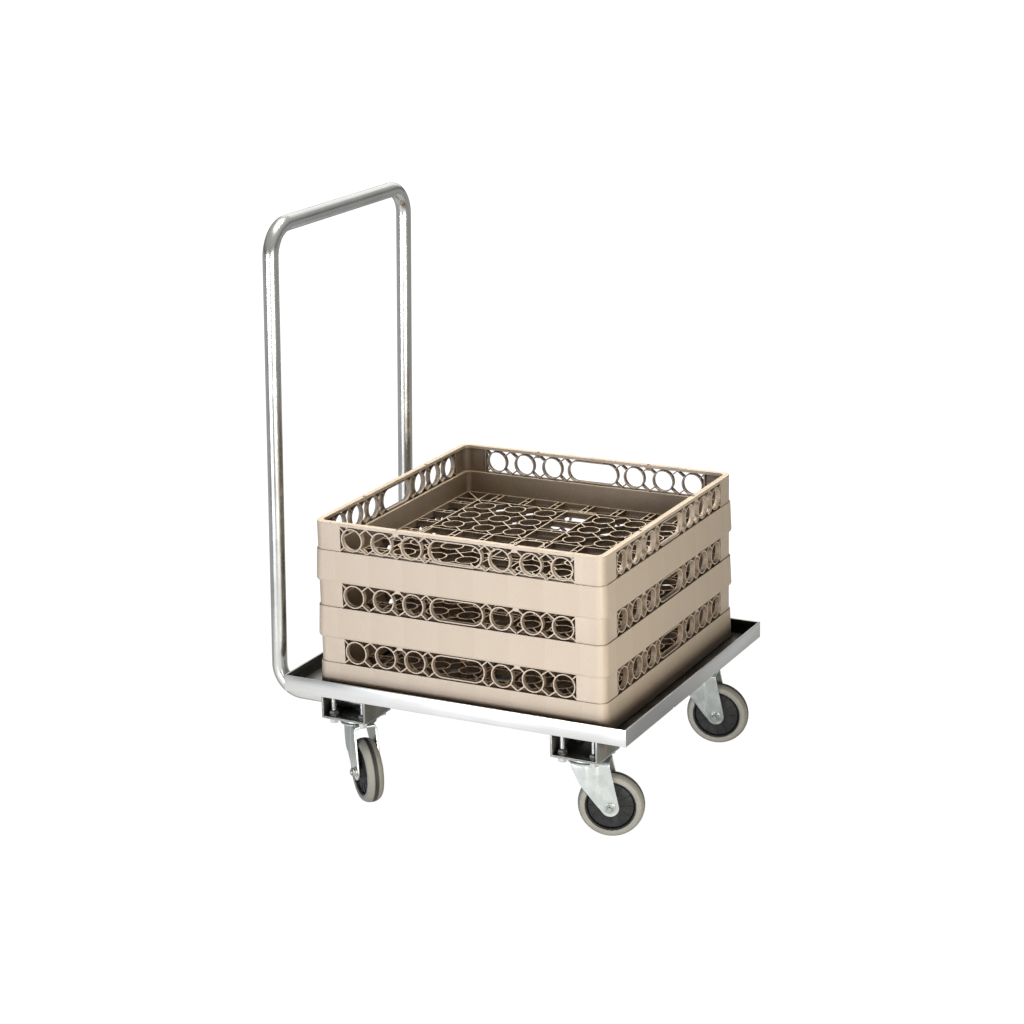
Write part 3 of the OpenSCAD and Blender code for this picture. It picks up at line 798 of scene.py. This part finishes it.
def turned_mesh(outline, steps, mapped=1):
    """What lathe makes of an outline, as a mesh that faces outward."""
    bm = bmesh.new()
    lathe(bm, outline, steps, mapped)
    return mesh_of(bm, outward=True)


def hub_mesh(ribs):
    """Boss, dished disc, groove for the black ring and outer ring, with the ribs added."""
    half = [
        (7.05, 15.5), (11.4, 15.5), (12.0, 14.9), (12.6, 12.2), (14.0, 11.0), (15.5, 10.4), (24.0, 9.5),
        (34.6, 9.2), (35.4, 8.8), (35.7, 7.0), (37.0, 7.0), (37.2, 9.0), (37.6, 11.4), (38.1, 12.0),
        (39.1, 12.3), (40.0, 12.2),
    ]
    bm = bmesh.new()
    bm.from_mesh(turned_mesh(both_sides(half), 96, mapped=0))
    bm.from_mesh(ribs)
    return mesh_of(bm)


def tyre_mesh():
    """Rounded tyre with a narrow groove along the middle of its tread."""
    half = [
        (40.0, 12.5), (40.7, 13.0), (41.8, 13.3), (45.0, 13.5), (46.5, 13.2), (47.8, 12.3), (49.0, 10.8),
        (50.0, 9.2), (50.8, 7.3), (51.4, 5.2), (51.8, 3.2), (52.0, 1.9), (51.7, 1.35), (50.9, 1.0), (50.8, 0.0),
    ]
    return turned_mesh(both_sides(half), 128)


# ---------------------------------------------------------------- properties


def colour(name, text, value):
    return bpy.props.FloatVectorProperty(
        name=name, description=text, subtype="COLOR", size=3, min=0.0, max=1.0, default=value)


def length(name, text, value):
    return bpy.props.FloatProperty(name=name, description=text, default=value, min=0.0, unit="LENGTH")


def turn(name, text, degrees):
    return bpy.props.FloatProperty(
        name=name, description=text, default=math.radians(degrees), subtype="ANGLE")


class DollyColours(bpy.types.PropertyGroup):
    tray: colour("Tray", "Satin stainless sheet of the tray", (0.71, 0.71, 0.70))
    handle: colour("Handle", "Polished stainless tube", (0.66, 0.66, 0.64))
    bracket: colour("Brackets", "Dull sheet of the caster brackets", (0.34, 0.325, 0.30))
    zinc: colour("Zinc", "Zinc plate of forks, races and plates", (0.52, 0.54, 0.53))
    bolt: colour("Bolts", "Bright bolts and axle nuts", (0.50, 0.50, 0.49))
    rack: colour("Racks", "Beige moulded plastic", (0.494, 0.412, 0.340))
    tyre: colour("Tyres", "Grey rubber", (0.280, 0.269, 0.240))
    hub: colour("Hubs", "Black moulded plastic", (0.026, 0.026, 0.027))


class DollySizes(bpy.types.PropertyGroup):
    tray_edge: length("Tray edge", "Radius of the tray's folded edges", 0.0008)
    bracket_edge: length("Bracket edge", "Radius of the brackets' edges", 0.0005)
    bulge: length("Fork bulge", "How far the front of a fork's leg stands proud of its flat back", 0.0022)
    fold: length("Fork fold", "Radius of the fold between crown and leg", 0.006)


class DollyStage(bpy.types.PropertyGroup):
    camera: bpy.props.FloatVectorProperty(
        name="Camera", description="Place of the camera from the middle of the tray's rim",
        subtype="TRANSLATION", size=3, default=(1.7837, -3.4722, 1.4004), unit="LENGTH")
    yaw: turn("Yaw", "Turn of the view to the left of +Y", 27.486)
    pitch: turn("Pitch", "Downward tilt of the view", 16.663)
    roll: turn("Roll", "Roll of the view", -1.373)
    lens: bpy.props.FloatProperty(
        name="Lens", description="Focal length on a 36 mm frame", default=89.07, unit="CAMERA")


# ---------------------------------------------------------------- operators


class PieceOperator:
    bl_options = {"REGISTER", "UNDO"}

    def execute(self, context):
        self.make(context.scene.dolly_sizes, context.scene.dolly_colours)
        return {"FINISHED"}


def plated(colours):
    """The zinc plate that the casters share, made when it is first asked for."""
    return bpy.data.materials.get("zinc_plate") or zinc("zinc_plate", colours.zinc, rough=0.34)


class DOLLY_OT_tray(PieceOperator, bpy.types.Operator):
    """Dress the tray with rounded folds and satin steel"""

    bl_idname = "dolly.tray"
    bl_label = "Tray"

    def make(self, sizes, colours):
        steel = satin_steel("tray_satin", colours.tray, rough=0.34, grain=(6, 6, 700))
        mesh = rounded_copy("tray", sizes.tray_edge)
        finished("tray_sheet", mesh, steel, "dolly", ["tray"])


class DOLLY_OT_handle(PieceOperator, bpy.types.Operator):
    """Give the push handle its polished tube"""

    bl_idname = "dolly.handle"
    bl_label = "Push handle"

    def make(self, sizes, colours):
        bar_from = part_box("push_handle")[1].z - 0.045
        repaint("push_handle", tube_steel("tube_polished", colours.handle, rough=0.24, bar_from=bar_from))


class DOLLY_OT_brackets(PieceOperator, bpy.types.Operator):
    """Dress the four brackets and their weld beads"""

    bl_idname = "dolly.brackets"
    bl_label = "Caster brackets"

    def make(self, sizes, colours):
        steel = dull_steel("bracket_sheet", colours.bracket, rough=0.42)
        bead = zinc("weld_bead", (0.35, 0.34, 0.33), rough=0.4)
        weld = grown(weld_tree(), {"Length": 0.07, "Material": bead})
        flat = Matrix.Rotation(math.radians(90), 4, "Z") @ Matrix.Diagonal((1, 0.7, 0.55, 1))
        # The middle of a bead lies this far outside its bracket's wall and below the tray.
        outside, below = 0.0006, 0.0008
        for end in ENDS:
            node = "bracket_" + end
            mesh = rounded_copy(node, sizes.bracket_edge)
            finished("bracket_sheet_" + end, mesh, steel, "dolly", [node])
            low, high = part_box(node)
            bm = bmesh.new()
            for x in (low.x - outside, high.x + outside):
                place = Matrix.Translation((x, (low.y + high.y) / 2, high.z - below))
                copy = weld.copy()
                copy.transform(place @ flat)
                bm.from_mesh(copy)
                bpy.data.meshes.remove(copy)
            finished("weld_" + end, mesh_of(bm), bead, "dolly")


class DOLLY_OT_plates(PieceOperator, bpy.types.Operator):
    """Dress the casters' top plates, races and kingpins"""

    bl_idname = "dolly.plates"
    bl_label = "Caster plates and races"

    def make(self, sizes, colours):
        plate = plated(colours)
        for end in ENDS:
            mesh = rounded_copy("top_plate_" + end, radius=0.0005)
            finished("plate_" + end, mesh, plate, "dolly", ["top_plate_" + end])
            mesh = race_mesh()
            mesh.transform(caster_place(end))
            finished("ball_race_" + end, mesh, plate, "dolly", ["race_" + end], 50)
            repaint("kingpin_" + end, plate)


class DOLLY_OT_fasteners(PieceOperator, bpy.types.Operator):
    """Make the plate bolts with their threads, and the flange nuts"""

    bl_idname = "dolly.fasteners"
    bl_label = "Plate bolts and nuts"

    def make(self, sizes, colours):
        shiny = zinc("bright_bolts", colours.bolt, rough=0.36)
        # The nuts keep the frame's own plain material.
        dark = frame["nodes"]["plate_nuts_fr"].material_slots[0].material
        low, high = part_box("plate_bolts_fr")
        values = {"Length": high.z - low.z - CAD_HEAD, "Head": BOLT_HEAD, "Material": shiny}
        bolts = grown(plate_bolts_tree(), values)
        nuts = grown(flange_nuts_tree(), {"Material": dark})
        nut_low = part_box("plate_nuts_fr")[0].z
        for end in ENDS:
            x, y, _ = JOINTS["swivel_" + ENDS[end]]["pos_m"]
            mesh = bolts.copy()
            mesh.transform(Matrix.Translation((x, y, low.z + CAD_HEAD)))
            finished("bolts_" + end, mesh, shiny, "dolly", ["plate_bolts_" + end])
            mesh = nuts.copy()
            mesh.transform(Matrix.Translation((x, y, nut_low)))
            finished("nuts_" + end, mesh, dark, "dolly", ["plate_nuts_" + end])


class DOLLY_OT_forks(PieceOperator, bpy.types.Operator):
    """Make the four pressed forks"""

    bl_idname = "dolly.forks"
    bl_label = "Forks"

    def make(self, sizes, colours):
        plate = plated(colours)
        for end in ENDS:
            body = "swivel_" + ENDS[end]
            mesh = fork_mesh(sizes)
            mesh.transform(caster_place(end))
            finished("pressed_fork_" + end, mesh, plate, body, ["fork_" + end], 40)


class DOLLY_OT_axles(PieceOperator, bpy.types.Operator):
    """Make the axle nuts and washers and dress the axle bolts"""

    bl_idname = "dolly.axles"
    bl_label = "Axles"

    def make(self, sizes, colours):
        dark = zinc("nut_grey", (0.34, 0.34, 0.33), rough=0.45)
        washer = [(4.1, 19.5), (8.3, 19.5), (8.5, 19.8), (8.5, 20.6), (8.2, 20.9), (4.1, 20.9)]
        for end in ENDS:
            body = "swivel_" + ENDS[end]
            place = axle_place(end)
            mesh = turned_mesh(metres(washer), steps=48)
            mesh.transform(place)
            finished("axle_washer_" + end, mesh, plated(colours), body)
            mesh = nut_mesh(flats=0.013, height=0.0051, base=0.0209, bore=0.0041)
            mesh.transform(place)
            finished("lock_nut_" + end, mesh, dark, body, ["axle_nut_" + end])
            repaint("axle_bolt_" + end, dark)
            repaint("axle_sleeve_" + end, plated(colours))


class DOLLY_OT_wheels(PieceOperator, bpy.types.Operator):
    """Make the hubs with their ribs, and the grey tyres"""

    bl_idname = "dolly.wheels"
    bl_label = "Wheels"

    def make(self, sizes, colours):
        rubber = tyre_rubber("tyre_grey", colours.tyre, tread_from=0.0118)
        black = hub_plastic("hub_black", colours.hub)
        ribs = grown(hub_ribs_tree(), {"Material": black})
        for end in ENDS:
            body = "wheel_" + ENDS[end]
            place = axle_place(end)
            mesh = hub_mesh(ribs)
            mesh.transform(place)
            finished("hub_disc_" + end, mesh, black, body, ["hub_" + end])
            mesh = tyre_mesh()
            mesh.transform(place)
            finished("tyre_ring_" + end, mesh, rubber, body, ["tyre_" + end], 50)


class DOLLY_OT_racks(PieceOperator, bpy.types.Operator):
    """Give the three racks their moulded plastic and the rails round their floor grids"""

    bl_idname = "dolly.racks"
    bl_label = "Dish racks"

    def make(self, sizes, colours):
        low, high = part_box("rack_bottom")
        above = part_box("rack_middle")[0].z
        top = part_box("rack_top")[1].z
        centre = ((low.x + high.x) / 2, (low.y + high.y) / 2)
        plastic = rack_plastic("rack_beige", colours.rack, centre, low.z, above - low.z, top)
        for node in ("rack_bottom", "rack_middle", "rack_top"):
            repaint(node, plastic)
            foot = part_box(node)[0].z
            mesh = floor_rail_mesh(low=foot + RAIL_LOW, high=foot + RAIL_HIGH, **FLOOR_RAIL)
            mesh.transform(Matrix.Translation((*centre, 0.0)))
            finished(node.replace("rack", "floor_rail"), mesh, plastic, node)


def softbox(name, place, aim, width, height, power, tint=(1.0, 1.0, 1.0)):
    """A soft lamp that the camera doesn't see."""
    lamp = bpy.data.lights.new(name, "AREA")
    lamp.shape = "RECTANGLE"
    lamp.size = width
    lamp.size_y = height
    lamp.energy = power
    lamp.color = tint
    light = linked(name, lamp)
    light.visible_camera = False
    light.location = place
    light.rotation_euler = (Vector(aim) - Vector(place)).to_track_quat("-Z", "Y").to_euler()


class DOLLY_OT_stage(bpy.types.Operator):
    """Make the pale floor, the soft lights and the camera"""

    bl_idname = "dolly.stage"
    bl_label = "Stage"

    def execute(self, context):
        self.floor()
        self.world(context.scene)
        self.lights()
        self.camera(context.scene)
        context.scene.view_settings.view_transform = "Standard"
        return {"FINISHED"}

    def camera(self, scene):
        """The photograph's camera, placed from the middle of the tray's rim."""
        stage = scene.dolly_stage
        low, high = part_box("tray")
        rim = Vector(((low.x + high.x) / 2, (low.y + high.y) / 2, high.z))
        yaw, pitch, roll = stage.yaw, stage.pitch, stage.roll
        forward = Vector((-math.sin(yaw) * math.cos(pitch), math.cos(yaw) * math.cos(pitch), -math.sin(pitch)))
        right = forward.cross(Vector((0, 0, 1))).normalized()
        up = right.cross(forward)
        across = right * math.cos(roll) + up * math.sin(roll)
        upward = up * math.cos(roll) - right * math.sin(roll)
        lens = bpy.data.cameras.new("view")
        lens.lens = stage.lens
        lens.sensor_width = 36.0
        lens.sensor_fit = "HORIZONTAL"
        camera = linked("view", lens)
        turned = Matrix((across, upward, -forward)).transposed().to_4x4()
        camera.matrix_world = Matrix.Translation(rim + Vector(stage.camera)) @ turned
        scene.camera = camera

    def floor(self):
        """White floor with a soft shadow. Metal sees it dark, with bright patches that give it light bands."""
        mesh = bpy.data.meshes.new("floor")
        half = 60.0
        corners = [(-half, -half, 0), (half, -half, 0), (half, half, 0), (-half, half, 0)]
        mesh.from_pydata(corners, [], [(0, 1, 2, 3)])
        paint = bpy.data.materials.new("floor_white")
        paint.use_nodes = True
        graph = Graph(paint.node_tree)
        graph.tree.nodes.clear()
        place = graph.place()
        away = graph.add("ShaderNodeVectorMath", {"operation": "LENGTH"}, {0: place}, out=1)
        x, y, _ = graph.parts(place)
        bearing = y.math("ARCTAN2", x) * (180.0 / math.pi)
        camera, glossy, through = graph.rays()
        # These rays see the plain floor, with a tenth of the matt one near the dolly, for its shadow.
        # All other rays see the matt floor.
        far = away.ramp(0.5, 1.3, 0.9, 1.0) * camera.largest(glossy).largest(through)
        # The patches by bearing in degrees from +X and by distance in metres: left and right of the view,
        # to the right side, behind, and close in front.
        left = bearing.ramp(-130.0, -124.0) * bearing.ramp(-88.0, -92.0)
        right = bearing.ramp(-77.0, -75.0) * bearing.ramp(-51.0, -54.0)
        side = away.ramp(0.5, 2.8, 0.24, 0.34)
        side = side + bearing.ramp(25.0, 60.0, 0.0, 0.32) * away.ramp(1.15, 1.45, 1.0, 0.0)
        side = side * bearing.ramp(-46.0, -36.0)
        behind = abs(bearing).ramp(132.0, 146.0, 0.0, 0.42)
        near = bearing.ramp(-165.0, -140.0) * bearing.ramp(-5.0, -25.0) * (1.0 - away.ramp(1.1, 1.35))
        patches = near.largest(left).largest(right).largest(side).largest(behind)
        patches = patches * away.ramp(0.12, 0.3, 0.06, 1.0)
        # White, but dark outside the patches to glossy rays.
        shade = 1.0 - glossy * (1.0 - patches)
        matt = graph.add("ShaderNodeBsdfDiffuse", None, {"Color": (0.35, 0.35, 0.35, 1.0)})
        plain = graph.add("ShaderNodeEmission", None, {"Color": shade, "Strength": 1.12})
        both = graph.add("ShaderNodeMixShader", None, {0: far, 1: matt, 2: plain})
        graph.end("ShaderNodeOutputMaterial", both.socket)
        mesh.materials.append(paint)
        floor = linked("floor", mesh)

    def world(self, scene):
        """White to the camera, to metal a grey room that brightens upwards, and nearly black to the rest."""
        world = bpy.data.worlds.new("studio")
        world.use_nodes = True
        scene.world = world
        graph = Graph(world.node_tree)
        graph.tree.nodes.clear()
        camera, glossy, through = graph.rays()
        rise = graph.parts(graph.add("ShaderNodeTexCoord"))[2]
        room = graph.colour(rise.ramp(0.0, 0.5), (0.14,) * 3, (0.46,) * 3)
        tone = graph.colour(glossy, (0.015,) * 3, room)
        tone = graph.colour(camera.largest(through), tone, (1.0, 1.0, 1.0))
        glow = graph.add("ShaderNodeBackground", None, {"Color": tone, "Strength": 1.0})
        graph.end("ShaderNodeOutputWorld", glow.socket)

    def lights(self):
        """Two low lamps in front, which leave the racks' insides dark, one behind and one above."""
        def around(bearing, distance, height):
            """A place by its bearing in degrees from +X."""
            angle = math.radians(bearing)
            return (distance * math.cos(angle), distance * math.sin(angle), height)

        low = (0.0, 0.0, 0.4)
        softbox("front_left_box", around(-102.5, 3.0, 0.4), low, 1.4, 0.6, 50.0, (0.95, 1.0, 1.09))
        softbox("front_right_box", around(-44.0, 2.4, 0.4), low, 0.9, 0.6, 45.0, (1.03, 1.0, 0.89))
        softbox("back_box", around(112.0, 2.8, 2.1), (0.0, 0.0, 0.9), 2.4, 1.5, 10.0)
        softbox("top_box", (0.0, 0.1, 3.3), (0.0, 0.0, 0.5), 0.8, 0.8, 165.0, (1.04, 1.0, 0.87))


CLASSES = (
    DollyColours, DollySizes, DollyStage, DOLLY_OT_tray, DOLLY_OT_handle, DOLLY_OT_brackets, DOLLY_OT_plates,
    DOLLY_OT_fasteners, DOLLY_OT_forks, DOLLY_OT_axles, DOLLY_OT_wheels, DOLLY_OT_racks, DOLLY_OT_stage,
)


class DOLLY_PT_panel(bpy.types.Panel):
    """Lists the pieces of the dolly"""

    bl_label = "Dish Rack Dolly"
    bl_idname = "DOLLY_PT_panel"
    bl_space_type = "VIEW_3D"
    bl_region_type = "UI"
    bl_category = "Dolly"

    def draw(self, context):
        scene = context.scene
        for group in (scene.dolly_colours, scene.dolly_sizes, scene.dolly_stage):
            box = self.layout.box()
            for name in group.__annotations__:
                box.prop(group, name)
        for operator in CLASSES[3:]:
            self.layout.operator(operator.bl_idname)


def register():
    for one in CLASSES + (DOLLY_PT_panel,):
        bpy.utils.register_class(one)
    bpy.types.Scene.dolly_colours = bpy.props.PointerProperty(type=DollyColours)
    bpy.types.Scene.dolly_sizes = bpy.props.PointerProperty(type=DollySizes)
    bpy.types.Scene.dolly_stage = bpy.props.PointerProperty(type=DollyStage)


def unregister():
    del bpy.types.Scene.dolly_stage
    del bpy.types.Scene.dolly_sizes
    del bpy.types.Scene.dolly_colours
    for one in reversed(CLASSES + (DOLLY_PT_panel,)):
        bpy.utils.unregister_class(one)


def main():
    register()
    bpy.ops.dolly.tray()
    bpy.ops.dolly.handle()
    bpy.ops.dolly.brackets()
    bpy.ops.dolly.plates()
    bpy.ops.dolly.fasteners()
    bpy.ops.dolly.forks()
    bpy.ops.dolly.axles()
    bpy.ops.dolly.wheels()
    bpy.ops.dolly.racks()
    bpy.ops.dolly.stage()


if __name__ == "__main__":
    main()
